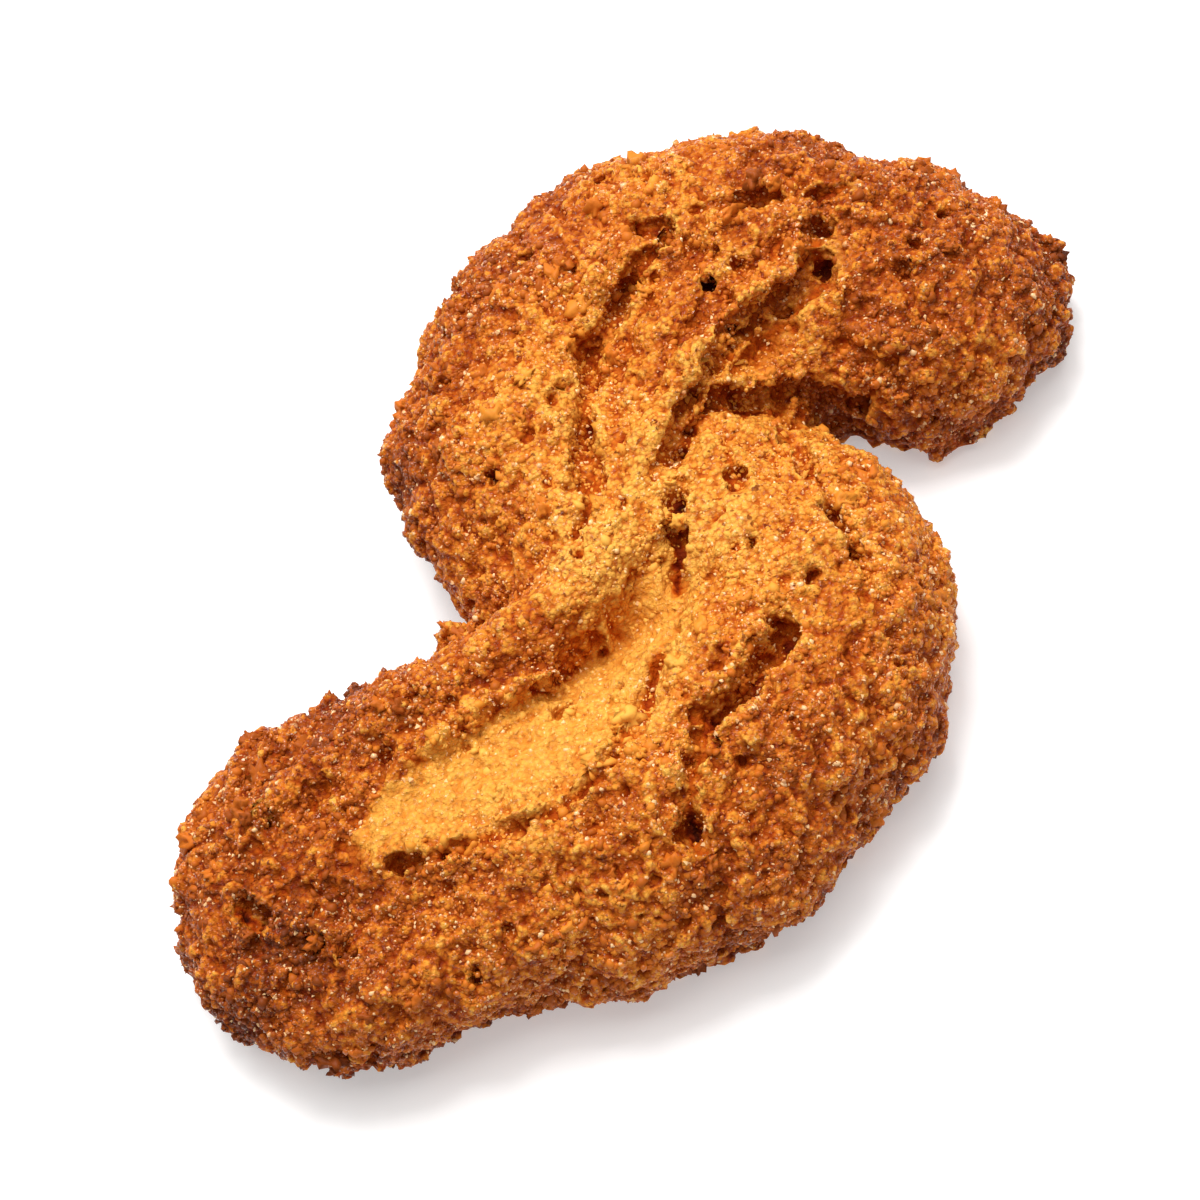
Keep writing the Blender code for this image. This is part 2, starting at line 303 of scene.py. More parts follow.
# %% The narrow cracks
# Each crack: points in plan, half width, depth, the side of its steep wall (1 left, -1 right, 0 both),
# how deep its gentle wall reaches as a share of the depth, and how patchy its opening is
CRACKS = {
    "up the upper curl": ([(-2.4, -2.5), (0.9, 1.3), (1.8, 3.8), (2.8, 6.8), (3.5, 9.1), (5.6, 11.6),
                           (6.2, 14.0), (7.6, 14.5), (10.2, 16.8), (12.7, 19.1), (15.4, 19.6),
                           (16.2, 20.5)], 0.8, 2.6, -1, 0.3, 0.7),
    "over the top": ([(14.3, 22.4), (16.0, 21.3), (19.4, 20.9), (21.4, 20.2), (25.3, 19.6), (27.8, 17.9),
                      (31.7, 16.9), (32.8, 18.4)], 0.6, 1.6, 1, 0.3, 0.9),
    "foot of the ridge": ([(6.8, 0.0), (10.4, 3.6), (13.9, 6.3), (17.7, 8.6), (21.0, 9.4), (24.0, 9.8),
                           (25.8, 11.0), (26.5, 13.4), (28.0, 14.8)], 1.2, 2.6, 1, 0.6, 0.3),
    "under the arm": ([(7.5, 0.8), (10.4, 3.4), (13.6, 4.7), (16.3, 4.3), (18.4, 3.9), (20.3, 3.8),
                       (22.6, 2.9), (24.8, 0.6)], 0.7, 2.2, 1, 0.3, 0.2),
    "across the waist": ([(7.0, -2.1), (6.2, -3.4), (5.2, -5.1), (4.9, -6.3), (3.8, -7.3), (3.2, -9.2)],
                         0.7, 2.8, 0, 0.0, 0.3),
    "over the right lobe": ([(9.6, -17.0), (8.4, -18.6), (6.3, -19.2), (5.3, -20.4), (3.9, -21.3),
                             (1.9, -21.4), (0.0, -21.1)], 0.9, 3.0, -1, 0.3, 0.4),
    "down the front": ([(1.9, -21.4), (0.5, -22.1), (-0.9, -23.7), (-2.5, -25.5), (-3.8, -27.3),
                        (-4.3, -29.9)], 0.8, 2.4, 0, 0.0, 0.6),
    "below the split": ([(0.8, -12.5), (-1.4, -15.0), (-4.6, -19.1), (-8.2, -21.9), (-13.6, -22.7),
                         (-21.1, -21.3), (-26.4, -19.6)], 0.6, 1.4, -1, 0.3, 0.8),
    "right shoulder": ([(17.6, 1.0), (17.8, -2.7), (17.1, -5.0), (17.5, -8.5), (17.1, -9.9), (17.7, -12.5),
                        (17.9, -14.5), (17.5, -16.6)], 0.6, 2.0, -1, 0.3, 0.8),
    "on the shoulder": ([(12.8, 1.1), (11.9, -1.3), (11.8, -4.4)], 0.4, 1.2, 0, 0.0, 0.8),
    "left end": ([(-39.0, -15.5), (-38.2, -17.0), (-37.3, -18.4)], 0.8, 2.2, 0, 0.0, 0.2),
    "first tear in the split": ([(-17.4, -22.0), (-15.0, -22.6)], 0.5, 1.4, 0, 0.0, 0.0),
    "second tear in the split": ([(-22.6, -21.2), (-20.0, -21.8)], 0.5, 1.4, 0, 0.0, 0.0),
    "third tear in the split": ([(-26.0, -19.9), (-24.0, -20.7)], 0.4, 1.2, 0, 0.0, 0.0),
    "fourth tear in the split": ([(-9.6, -13.9), (-7.5, -12.9)], 0.5, 1.3, 0, 0.0, 0.0),
    "fifth tear in the split": ([(-13.8, -13.6), (-11.0, -13.1)], 0.4, 1.0, 0, 0.0, 0.0),
}
# The raggedness of their walls: by how many mm, and over how many mm
CRACK_RAGGED = [(0.55, 2.2), (0.35, 0.9)]
# No crack reaches below this height
CRACK_FOOT = 2.0
# The gentle wall is this many half widths wide, and a lip stands this many mm proud
GENTLE_WALL = 2.4
LIP = 0.3
# A crack is open in some places and nearly shut in others, over this many mm
OPENING_LENGTH = 4.5
# How open most of it is, how much that changes, and between what limits
OPENING_LEVEL = -0.2
OPENING_CHANGE = 1.6
OPENING_LIMITS = (-1.0, 0.3)
# Where a crack's steep wall, lip and gap of painted shade lie and how wide they are, in half widths from its
# line
STEEP_WALL = (0.5, 0.5)
LIP_PLACE = (1.6, 0.5)
SHADED_GAP = (0.25, 0.45)
# A crack of this many mm gets full painted shade at its bottom
FULL_SHADE_DEPTH = 2.2
# Cracks grow shallow over the last tenth of their length, but don't close fully
END_FADE = 8
END_LEFT = 0.3


def crack_cut(places, ragged, patches, crack):
    """Depth of one crack at each place, how far its torn lip stands up, and how much painted shade its narrow
    gap gets.
    """
    points, half_width, depth, steep, gentle_share, patchy = crack
    distance, share, side = distance_along(places, np.array(points))
    opening = 1 + patchy * patches
    wall = (distance + ragged) / (half_width * (0.5 + 0.5 * opening))
    sharp = 1 - ease((wall - STEEP_WALL[0]) / STEEP_WALL[1])
    gentle = gentle_share * (1 - ease(wall / GENTLE_WALL))
    on_steep = side * steep > 0
    cut = np.where(on_steep, sharp, np.maximum(sharp, gentle))
    lip = np.exp(-((wall - LIP_PLACE[0]) / LIP_PLACE[1]) ** 2) * (on_steep | (steep == 0))
    reach = ease(np.minimum(share, 1 - share) * END_FADE + END_LEFT)
    reach = reach * ease((places[:, 2] - CRACK_FOOT) / WIDEST_AT)
    gap = (1 - ease((wall - SHADED_GAP[0]) / SHADED_GAP[1])) * reach
    gap = gap * np.clip(opening * depth / FULL_SHADE_DEPTH, 0, 1) * (1 - gentle_share)
    return cut * reach * opening * depth, lip * reach * LIP, gap


def crack_noise(places):
    """How ragged and how patchy cracks are at each place."""
    ragged = sum(amount * noise_at(places, wide) for amount, wide in CRACK_RAGGED)
    patches = OPENING_LEVEL + OPENING_CHANGE * noise_at(places, OPENING_LENGTH, 80.0)
    return ragged, np.clip(patches, *OPENING_LIMITS)


places, normals = read(dough.data), read(dough.data, "normal")
ragged, patches = crack_noise(places)
for crack in CRACKS.values():
    cut, lip = crack_cut(places, ragged, patches, crack)[:2]
    places += normals * (lip - cut)[:, None]
write(dough.data, places)
print("cracks:", ", ".join(CRACKS))

# %% [markdown]
# ## Swells and crags
#
# Short dough has little gluten, so it breaks into crags a few millimetres wide as it spreads.
# The absolute value of noise gives round tops with sharp creases between them. A lattice of cells adds
# broken plates: every place belongs to its nearest cell, and each cell stands at its own height.
# Crags are strongest where the oven browned the crust most, and the floor of the split,
# which tore open late, is the smoothest part.

# %% Cells of a jittered lattice
def scatter_number(cell, salt):
    """A repeatable number from 0 to 1 for each cell of a lattice, stirred by large odd factors."""
    mixed = cell[:, 0] * 73856093 + cell[:, 1] * 19349663 + cell[:, 2] * 83492791 + salt * 2654435761
    mixed = ((mixed ^ (mixed >> 15)) * 2246822519) & 0xFFFFFFFF
    mixed = ((mixed ^ (mixed >> 13)) * 3266489917) & 0xFFFFFFFF
    return ((mixed ^ (mixed >> 16)) & 0xFFFFFF) / 0xFFFFFF


def cells(places, spacing, salt):
    """For each place: distance to its nearest cell and the next, in spacings, and its cell's number."""
    scaled = places / spacing
    home = np.floor(scaled).astype(np.int64)
    first = np.full(len(places), 9.0)
    second = np.full(len(places), 9.0)
    own = np.zeros(len(places))
    for step in itertools.product((-1, 0, 1), repeat=3):
        here = home + np.array(step)
        jitter = np.stack([scatter_number(here, salt + i) for i in range(3)], axis=1)
        away = np.linalg.norm(scaled - here - jitter, axis=1)
        closer = away < first
        second = np.where(closer, first, np.minimum(second, away))
        own = np.where(closer, jitter.sum(axis=1) % 1.0, own)
        first = np.where(closer, away, first)
    return first, second, own


def warp(places, amount, size, shift):
    """The places moved about by noise, so that the cells get crooked edges."""
    return places + amount * np.stack([noise_at(places, size, shift + 7 * i) for i in range(3)], axis=1)


# %% Where the oven browned the crust, with painted light and shade
# Places that browned more or less than the rest: in plan, with their reach and amount. The darker spots
# on the front walls are partly painted shade, and the paler spots at the waist and in the valley under
# the arm are painted light that lifts the shade there
BROWNING_AND_PAINTED_LIGHT_SPOTS = [((40.0, 8.0), 9.0, 0.26), ((-11.0, 13.0), 8.0, 0.24), ((0.0, 28.0), 8.0, 0.24),
           ((12.0, 34.0), 7.0, 0.15), ((32.0, 25.0), 8.0, 0.20), ((-38.0, -21.0), 11.0, 0.30),
           ((-26.0, -3.0), 9.0, 0.28), ((7.0, -5.0), 12.0, -0.34), ((-10.0, -17.0), 8.0, -0.12),
           ((0.0, 11.0), 8.0, -0.20), ((14.0, 27.0), 7.0, -0.12), ((-0.5, -4.5), 5.0, -0.24),
           ((-0.5, -31.0), 8.0, 0.12), ((28.5, 2.1), 5.0, 0.14), ((15.0, -30.0), 7.0, 0.10),
           ((11.5, 8.0), 5.0, 0.16), ((9.5, -9.5), 6.0, 0.08),
           ((-9.0, -8.5), 5.0, 0.14), ((15.0, 5.8), 4.0, -0.16)]
BROWN_LEVEL = 0.50
# The sides below this height are darker: the hot tray browned them, and part of it is painted shade
# against the light that the white floor throws up
TRAY_BROWNING_AND_SHADE = 0.24
TRAY_REACH = 11.0


def browning(places):
    """How brown each place is, 0 raw and 1 nearly burnt: the oven's browning, with painted shade low on the
    sides and front walls, and painted light at the waist and under the arm.
    """
    brown = BROWN_LEVEL + TRAY_BROWNING_AND_SHADE * ease(1 - places[:, 2] / TRAY_REACH)
    for middle, reach, amount in BROWNING_AND_PAINTED_LIGHT_SPOTS:
        away = np.linalg.norm(places[:, :2] - middle, axis=1) / reach
        brown += amount * np.exp(-away ** 2)
    return brown


# How rough the palest crust is, how much more the browned crust is, and from which browning on
LEAST_ROUGH = 0.50
ROUGH_BY_BROWNING = 1.2
ROUGH_FROM = 0.2
# How much smoother the bare crumb is
CRUMB_SMOOTHER = 0.35


def roughness_at(places):
    """The most browned crust also broke up most, and the floor of the split least."""
    browned = np.clip(browning(places) - ROUGH_FROM, 0, 0.7)
    return (LEAST_ROUGH + ROUGH_BY_BROWNING * browned) * (1 - CRUMB_SMOOTHER * bare_crumb(places))


# %% Crags
# How high the soft swells and the crags stand, and over how many mm
SWELL = (1.0, 8.0)
CRAGS = [(0.85, 3.6), (0.45, 1.9)]
# Taken off the crags' noise, so that they go inwards as well
CRAG_LEVEL = 0.35
# Broken plates: their width, the most that one stands above its neighbour, and the depth of the creases
PLATES = [(4.6, 0.75, 0.45), (2.3, 0.40, 0.25)]
CREASE_WIDTH = 0.22

places, normals = read(dough.data), read(dough.data, "normal")
rough = roughness_at(places)
lift = np.zeros(len(places))
for proud, wide in CRAGS:
    lift += proud * (np.abs(noise_at(places, wide)) - CRAG_LEVEL)
crooked = warp(places, 0.9, 2.4, 3.0)
for salt, (spacing, step_height, crease) in enumerate(PLATES):
    first, second, own = cells(crooked, spacing, salt * 10)
    lift += step_height * (own - 0.5) - crease * (1 - ease((second - first) / CREASE_WIDTH))
lift = lift * rough + SWELL[0] * noise_at(places, SWELL[1])
write(dough.data, places + normals * lift[:, None])
print("crags lift the skin from", round(lift.min(), 2), "to", round(lift.max(), 2), "mm")


# %% [markdown]
# ## The flat base
#
# The tray kept the underside flat. Pressing the lowest points up to the tray would crowd them in folds,
# so the dough is cut at the level of the tray, and the remesh that follows gives the base and the crust
# one even skin.

# %% Cutting the base
def cut_flat(thing):
    """Takes off what lies below the tray and closes the cut."""
    mesh = bmesh.new()
    mesh.from_mesh(thing.data)
    every = mesh.verts[:] + mesh.edges[:] + mesh.faces[:]
    bmesh.ops.bisect_plane(mesh, geom=every, plane_co=(0, 0, 0), plane_no=(0, 0, -1),
                           dist=0.001, clear_outer=True)
    rim = [edge for edge in mesh.edges if edge.is_boundary]
    bmesh.ops.holes_fill(mesh, edges=rim, sides=0)
    bmesh.ops.triangulate(mesh, faces=[face for face in mesh.faces if len(face.verts) > 4])
    mesh.to_mesh(thing.data)
    mesh.free()


cut_flat(dough)
fuse(dough, FINE_SKIN)


# %% [markdown]
# ## Granules and pores
#
# Seen close, the crust is a crowd of sugary granules, from half a millimetre to one millimetre wide.
# Smaller cells of the same lattice give them: each cell is a little dome of its own height, and a few
# cells go inwards instead and make the pores where steam came out. Bump alone would leave
# the outline smooth, so they are in the mesh.

# %% Granules on the crust
# Granules: their width and about how high they stand, in mm
GRANULES = [(1.00, 0.20), (0.64, 0.20)]
# Pores: their spacing, the share of cells that are one, and their depth
PORES = [(1.8, 0.12, 1.1), (0.9, 0.05, 0.5)]
# How steeply domes and pores fall off from their middles
DOME_FALL = 2.2
# Taken off the domes, so that the gaps between them go inwards
DOME_LEVEL = 0.35
# The base has no granules up to this height
BARE_BASE = 0.4

places, normals = read(dough.data), read(dough.data, "normal")
on_base = ease((BARE_BASE - places[:, 2]) / BARE_BASE)
crooked = warp(places, 0.25, 0.9, 40.0)
lift = np.zeros(len(places))
for salt, (spacing, proud) in enumerate(GRANULES):
    first, _, own = cells(crooked, spacing, 20 + salt * 10)
    lift += proud * ((0.3 + own) * (1 - first ** 2 * DOME_FALL) - DOME_LEVEL)
lift *= (0.3 + 0.8 * roughness_at(places)) * (1 + 0.8 * noise_at(places, 5.0, 60.0)) * (1 - on_base)
for salt, (spacing, chance, deep) in enumerate(PORES):
    first, _, own = cells(crooked, spacing, 60 + salt * 10)
    lift -= deep * (own < chance) * (1 - ease(first * DOME_FALL))
write(dough.data, places + normals * lift[:, None])
print("granules lift the skin by up to", round(lift.max(), 2), "mm")

# %% The larger holes
# Where single deep holes show, in plan, with their half widths
HOLES = [((27.9, 14.7), 0.9), ((26.5, 12.2), 0.8), ((31.8, 7.6), 0.8), ((35.1, 11.2), 0.5),
         ((21.9, 10.0), 0.6), ((17.3, 14.2), 0.5), ((16.3, 20.3), 0.7), ((14.3, 22.4), 0.7),
         ((13.2, -14.5), 0.6), ((10.2, -9.8), 0.35), ((18.9, 16.6), 0.35), ((-33.8, -11.0), 0.9),
         ((-34.1, -21.7), 0.8), ((-32.1, -23.7), 0.7), ((-23.8, -29.7), 0.6), ((3.0, 11.5), 0.5),
         ((-5.7, 7.0), 0.6), ((5.0, 25.4), 0.6), ((6.3, -20.0), 0.6), ((16.2, -23.0), 0.5)]
HOLE_DEPTH = 1.5
# Holes go only into the skin above this height
HOLE_FOOT = 3
# The raggedness of their rims: part of the half width, and over how many mm
HOLE_RAGGED = [(0.7, 1.2), (0.5, 0.6)]
# Their wall starts at this share of the half width
HOLE_WALL = 0.4

places, normals = read(dough.data), read(dough.data, "normal")
ragged = sum(amount * noise_at(places, wide, 90.0) for amount, wide in HOLE_RAGGED)
for middle, half_width in HOLES:
    away = np.linalg.norm(places[:, :2] - middle, axis=1) / half_width + ragged
    sunk = HOLE_DEPTH * (1 - ease(away - HOLE_WALL)) * (places[:, 2] > HOLE_FOOT)
    places -= normals * sunk[:, None]
places[:, 2] = np.maximum(places[:, 2], 0.0)
write(dough.data, places)
print("single holes:", len(HOLES))

# %% [markdown]
# ## Thinning the skin
#
# Even squares waste faces on the flat base. A coarser remesh would blunt the granules. Collapsing edges
# keeps them and thins what is flat, so the piece stays under 200,000 triangles. A cookie is one connected
# body, so scraps of skin that the cuts left loose are dropped, with the slivers that the collapsing made.

# %% Thinning
MOST_TRIANGLES = 196000


def triangles(mesh):
    mesh.calc_loop_triangles()
    return len(mesh.loop_triangles)


thin = dough.modifiers.new("thin", "DECIMATE")
thin.ratio = MOST_TRIANGLES / triangles(dough.data)
thin.use_collapse_triangulate = True
apply_modifiers(dough)
print("baked dough:", triangles(dough.data), "triangles")


# %% One connected skin
# Edges shorter than this many mm are slivers
SLIVER = 0.004


def connected_to(start):
    """All points that edges join to the start."""
    found, border = {start}, [start]
    while border:
        point = border.pop()
        for edge in point.link_edges:
            other = edge.other_vert(point)
            if other not in found:
                found.add(other)
                border.append(other)
    return found


def keep_the_skin(thing):
    """Drops slivers, and all that isn't joined to the largest part."""
    mesh = bmesh.new()
    mesh.from_mesh(thing.data)
    bmesh.ops.dissolve_degenerate(mesh, edges=mesh.edges[:], dist=SLIVER)
    parts, left = [], set(mesh.verts)
    while left:
        parts.append(connected_to(next(iter(left))))
        left -= parts[-1]
    skin = max(parts, key=len)
    bmesh.ops.delete(mesh, geom=[point for point in mesh.verts if point not in skin], context="VERTS")
    bmesh.ops.triangulate(mesh, faces=[face for face in mesh.faces if len(face.verts) > 3])
    print("loose scraps dropped:", len(parts) - 1)
    print("edges without two faces:", sum(not edge.is_manifold for edge in mesh.edges))
    mesh.to_mesh(thing.data)
    mesh.free()


keep_the_skin(dough)
print("baked dough:", triangles(dough.data), "triangles")

# %% [markdown]
# ## Browning
#
# Where the crust is thin, high or near an end it browns most, and the inside stays pale.
# A painted picture would need a map of the skin. So each point carries three numbers instead: how much it
# browned, how deep it lies in a hollow, and how much bare crumb shows. The material reads them, and paints
# the hollows darker as painted shade.
# Hollows are found by letting the skin relax a little and seeing which way each point moved.

# %% Numbers for the oven's work
# How much less the bare crumb of the split browned
PALE_SPLIT = 0.42
# Uneven patches of browning: their strength, and over how many mm
PATCHES = [(0.16, 6.0), (0.12, 2.0)]
# Small hollows show after a few rounds of relaxing and large ones after many, and the small count most
NEAR_ROUNDS = 4
FAR_ROUNDS = 30
NEAR_COUNTS = 2
FAR_COUNTS = 0.7
# Light reaches the open split well, so hollows count this much less there
OPEN_SPLIT = 0.65
# The crumb shows by this much in cracks that are at least this many mm deep
CRACK_CRUMB = 0.55
CRUMB_DEPTH = 0.8
# Light hardly reaches the bottom of a narrow crack, so it counts as this many mm deeper
CRACK_DARKNESS = 2.2


def mottled(places):
    """The browning with its uneven patches, less in the split."""
    patches = sum(amount * noise_at(places, wide, 20.0 + 10.0 * number)
                  for number, (amount, wide) in enumerate(PATCHES))
    return np.clip(browning(places) + patches - PALE_SPLIT * bare_crumb(places), 0, 1)


def relax(places, pairs, rounds):
    """The places after each has moved to the middle of its neighbours a number of times."""
    count = len(places)
    links = np.bincount(pairs.ravel(), minlength=count)
    for _ in range(rounds):
        moved = np.empty_like(places)
        for axis in range(3):
            total = np.bincount(pairs[:, 0], places[pairs[:, 1], axis], count)
            total += np.bincount(pairs[:, 1], places[pairs[:, 0], axis], count)
            moved[:, axis] = total / links
        places = moved
    return places


def store(mesh, name, values):
    """Keeps one number a point under a name that a material can read."""
    layer = mesh.attributes.new(name, "FLOAT", "POINT")
    layer.data.foreach_set("value", values.astype(np.float32))


places, normals = read(dough.data), read(dough.data, "normal")
pairs = np.empty(len(dough.data.edges) * 2, dtype=np.int32)
dough.data.edges.foreach_get("vertices", pairs)
pairs = pairs.reshape(-1, 2)
near = ((relax(places, pairs, NEAR_ROUNDS) - places) * normals).sum(axis=1)
far = ((relax(places, pairs, FAR_ROUNDS) - places) * normals).sum(axis=1)
pale = bare_crumb(places)
crumb = pale ** 1.5
hollow = (near * NEAR_COUNTS + far * FAR_COUNTS) * (1 - OPEN_SPLIT * pale)
ragged, patches = crack_noise(places)
# The narrow gap at the bottom of each crack gets painted shade: it hides the bare crumb and counts as a
# deeper hollow
dark = np.zeros(len(places))
for crack in CRACKS.values():
    cut, _, gap = crack_cut(places, ragged, patches, crack)
    crumb = np.maximum(crumb, CRACK_CRUMB * ease(cut / CRUMB_DEPTH))
    dark = np.maximum(dark, gap)
crumb *= 1 - dark
hollow += CRACK_DARKNESS * dark
store(dough.data, "brown", mottled(places))
store(dough.data, "hollow", hollow)
store(dough.data, "crumb", crumb)
print("hollow runs from", round(hollow.min(), 2), "to", round(hollow.max(), 2), "mm")


# %% Setting the dough in its place
def set_in_place(thing):
    """Moves a finished mesh from the dough's millimetres to its place in metres."""
    thing.data.transform(Matrix.Scale(MM, 4) @ Matrix.Translation(OVER_THE_MIDDLE))
    thing.data.shade_smooth()
    thing.data.update()


# %% [markdown]
# ## Loose crumbs and sugar
#
# Crumbs of the dough and coarse sugar stick out of the crust and give it its sparkle and its ragged edge.
# A particle system could lay them, but every grain would be an object of its own. So each kind starts from
# six small solids pulled out of shape, which are copied over the skin as one joined mesh, each turned and
# sized at random and sunk a little into the skin. Few lie in the dark of the narrow cracks.
# A modelled grain catches light from all sides, which bump in the material can't do.

# %% The shape of one grain
# How many shapes each kind of grain has
SHAPES = 6


def grain_shape(seed, subdivisions, roughness):
    """Points and faces of one crumb about 1 mm wide. With no subdivisions it is a grain of eight faces."""
    mesh = bmesh.new()
    if subdivisions == 0:
        bmesh.ops.create_uvsphere(mesh, u_segments=4, v_segments=2, radius=0.5)
    else:
        bmesh.ops.create_icosphere(mesh, subdivisions=subdivisions, radius=0.5)
    for vert in mesh.verts:
        coarse = noise.noise(vert.co * 3.5 + Vector((seed * 9.1, 0, 0)))
        fine = noise.noise(vert.co * 9.0 + Vector((seed * 5.3, 2, 0)))
        vert.co *= 1 + roughness * (coarse + 0.5 * fine)
    points = np.array([vert.co[:] for vert in mesh.verts])
    faces = np.array([[vert.index for vert in face.verts] for face in mesh.faces])
    mesh.free()
    return points, faces


def random_turns(count, draw):
    """A random turn for each grain, as 3 x 3 matrices, from four random numbers read as a quaternion."""
    q = draw.normal(size=(count, 4))
    w, x, y, z = (q / np.linalg.norm(q, axis=1)[:, None]).T
    rows = [1 - 2 * (y * y + z * z), 2 * (x * y - w * z), 2 * (x * z + w * y),
            2 * (x * y + w * z), 1 - 2 * (x * x + z * z), 2 * (y * z - w * x),
            2 * (x * z - w * y), 2 * (y * z + w * x), 1 - 2 * (x * x + y * y)]
    return np.stack(rows, axis=1).reshape(-1, 3, 3)


# %% Scattering
# How many fewer grains lie in the dark of a crack, as a share
FEWER_IN_CRACKS = 0.9
# Most grains are near the least width of their kind: their random number is raised to this power
MOSTLY_SMALL = 2.5
# A grain is up to this share longer or shorter each way
STRETCH = 0.3


def skin_of(mesh, liking, dark):
    """The mesh's triangles, their normals, and the share of all grains that each one gets."""
    mesh.calc_loop_triangles()
    total = len(mesh.loop_triangles)
    corners = np.empty(total * 3, dtype=np.int32)
    mesh.loop_triangles.foreach_get("vertices", corners)
    area = np.empty(total)
    mesh.loop_triangles.foreach_get("area", area)
    normals = np.empty(total * 3)
    mesh.loop_triangles.foreach_get("normal", normals)
    corners = corners.reshape(-1, 3)
    triangle = read(mesh)[corners]
    normals = normals.reshape(-1, 3)
    lit = 1 - FEWER_IN_CRACKS * dark[corners].mean(axis=1)
    weight = area * liking(triangle.mean(axis=1), normals) * lit
    return triangle, normals, weight / weight.sum()


def scatter(name, count, sizes, sunk, subdivisions, roughness, seed, skin, smooth=True):
    """One piece of many grains, sunk in the skin of the dough."""
    draw = np.random.default_rng(seed)
    triangle, triangle_normals, weight = skin
    chosen = draw.choice(len(triangle), size=count, p=weight)
    share = draw.dirichlet((1, 1, 1), size=count)
    spots = (triangle[chosen] * share[:, :, None]).sum(axis=1)
    normals = triangle_normals[chosen]
    width = sizes[0] + (sizes[1] - sizes[0]) * draw.random(count) ** MOSTLY_SMALL
    stretch = 1 + STRETCH * draw.normal(size=(count, 3)).clip(-1, 1)
    turns = random_turns(count, draw)
    middles = spots - normals * (width * sunk)[:, None]
    kinds = [grain_shape(kind, subdivisions, roughness) for kind in range(SHAPES)]
    kind_of = draw.integers(len(kinds), size=count)
    brown = mottled(spots)
    all_points, all_faces, browns, shades, first = [], [], [], [], 0
    for kind, (points, faces) in enumerate(kinds):
        mine = kind_of == kind
        shaped = points[None] * (width[mine, None] * stretch[mine])[:, None, :]
        placed = np.einsum("nij,nkj->nki", turns[mine], shaped) + middles[mine][:, None, :]
        starts = first + np.arange(mine.sum()) * len(points)
        all_points.append(placed.reshape(-1, 3))
        all_faces.append((faces[None] + starts[:, None, None]).reshape(-1, 3))
        browns.append(np.repeat(brown[mine], len(points)))
        shades.append(np.repeat(draw.random(mine.sum()), len(points)))
        first += mine.sum() * len(points)
    all_points = np.vstack(all_points)
    all_points[:, 2] = np.maximum(all_points[:, 2], 0.0)
    mesh = bpy.data.meshes.new(name)
    mesh.from_pydata(all_points.tolist(), [], np.vstack(all_faces).tolist())
    mesh.validate()
    piece = bpy.data.objects.new(name, mesh)
    bpy.context.collection.objects.link(piece)
    store(mesh, "brown", np.concatenate(browns))
    store(mesh, "shade", np.concatenate(shades))
    set_in_place(piece)
    if not smooth:
        mesh.shade_flat()
    print(name, "has", triangles(mesh), "triangles in", count, "grains")
    return piece


# %% Crumbs and sugar
# Clusters of grains are about this many mm wide, and between them a fifth as many lie
CLUSTER_WIDTH = 4.0
BETWEEN_CLUSTERS = 0.25
# The base has no grains, and the split's floor half as many as the crust
BASE_TOP = 0.6
BASE_FADE = 0.8
STEEPEST_DOWN = -0.6
FEWER_IN_SPLIT = 0.5


def crusty(middle, normal):
    """How well grains hold at a place: in clusters on the crust, fewer in the split, none on the base."""
    clusters = BETWEEN_CLUSTERS + ease(noise_at(middle, CLUSTER_WIDTH, 40.0) * 1.5 + 0.5)
    floor = split_shape(middle + BEFORE_SINKING)[0]
    off_base = ease((middle[:, 2] - BASE_TOP) / BASE_FADE) * (normal[:, 2] > STEEPEST_DOWN)
    return clusters * off_base * (1 - FEWER_IN_SPLIT * floor)


skin = skin_of(dough.data, crusty, dark)
# Each kind: how many, their least and most width in mm, how deep they are sunk as a share of the width,
# how finely they are divided, how rough they are, and the seed of their random numbers
large_crumbs = scatter("large_crumbs", 400, (0.8, 1.9), 0.42, 3, 1.1, 11, skin)
small_crumbs = scatter("small_crumbs", 7000, (0.42, 0.95), 0.28, 1, 0.7, 12, skin)
sugar_grains = scatter("sugar_grains", 9800, (0.25, 0.60), 0.22, 1, 0.5, 13, skin)
glazed_beads = scatter("glazed_beads", 9000, (0.35, 0.65), 0.30, 1, 0.35, 15, skin)
fine_grit = scatter("fine_grit", 22000, (0.22, 0.45), 0.15, 0, 0.6, 14, skin, smooth=False)
set_in_place(dough)

# %% [markdown]
# ## The baked crust's material
#
# Baked short dough is flour, butter and sugar. Its surface is matte where flour shows and glossy where
# sugar melted. Browning runs from pale crumb to dark caramel. Light that reaches a hollow has already come
# off brown crust, so hollows look orange, then red, and the tips of the granules look lighter.
# Scattering light under the skin would blur the grit, which the dry crust doesn't do, so the depth of each
# hollow chooses the colour instead: the orange, red and dark brown of the hollows are painted shade, and the
# lighter tips are painted light. Noise gives speckles and pits that are too small for the mesh, and the pits
# and the gaps between granules are painted shade.

# %% Colours and nodes
PALE_CRUMB = "F2B04A"
GOLDEN = "E4902E"
ORANGE_BROWN = "C8681A"
BROWN = "9A4810"
CARAMEL = "682C0A"
# Painted shade in hollows: orange and red on the crust, gold on the bare crumb
HOLLOW_SHADE_ORANGE = "C2580A"
HOLLOW_SHADE_RED = "8E3006"
HOLLOW_SHADE_GOLD = "B4701C"
# Pale sugar: partly its real colour, partly painted highlight that stands for glints
SUGAR_AND_GLINT = "F8CE94"
# Painted shade in pits, at the bottom of deep hollows and cracks, and between grit
PIT_SHADE_RED = "7A2A08"
GAP_SHADE_BROWN = "481404"
GRIT_GAP_SHADE = "BC6C24"


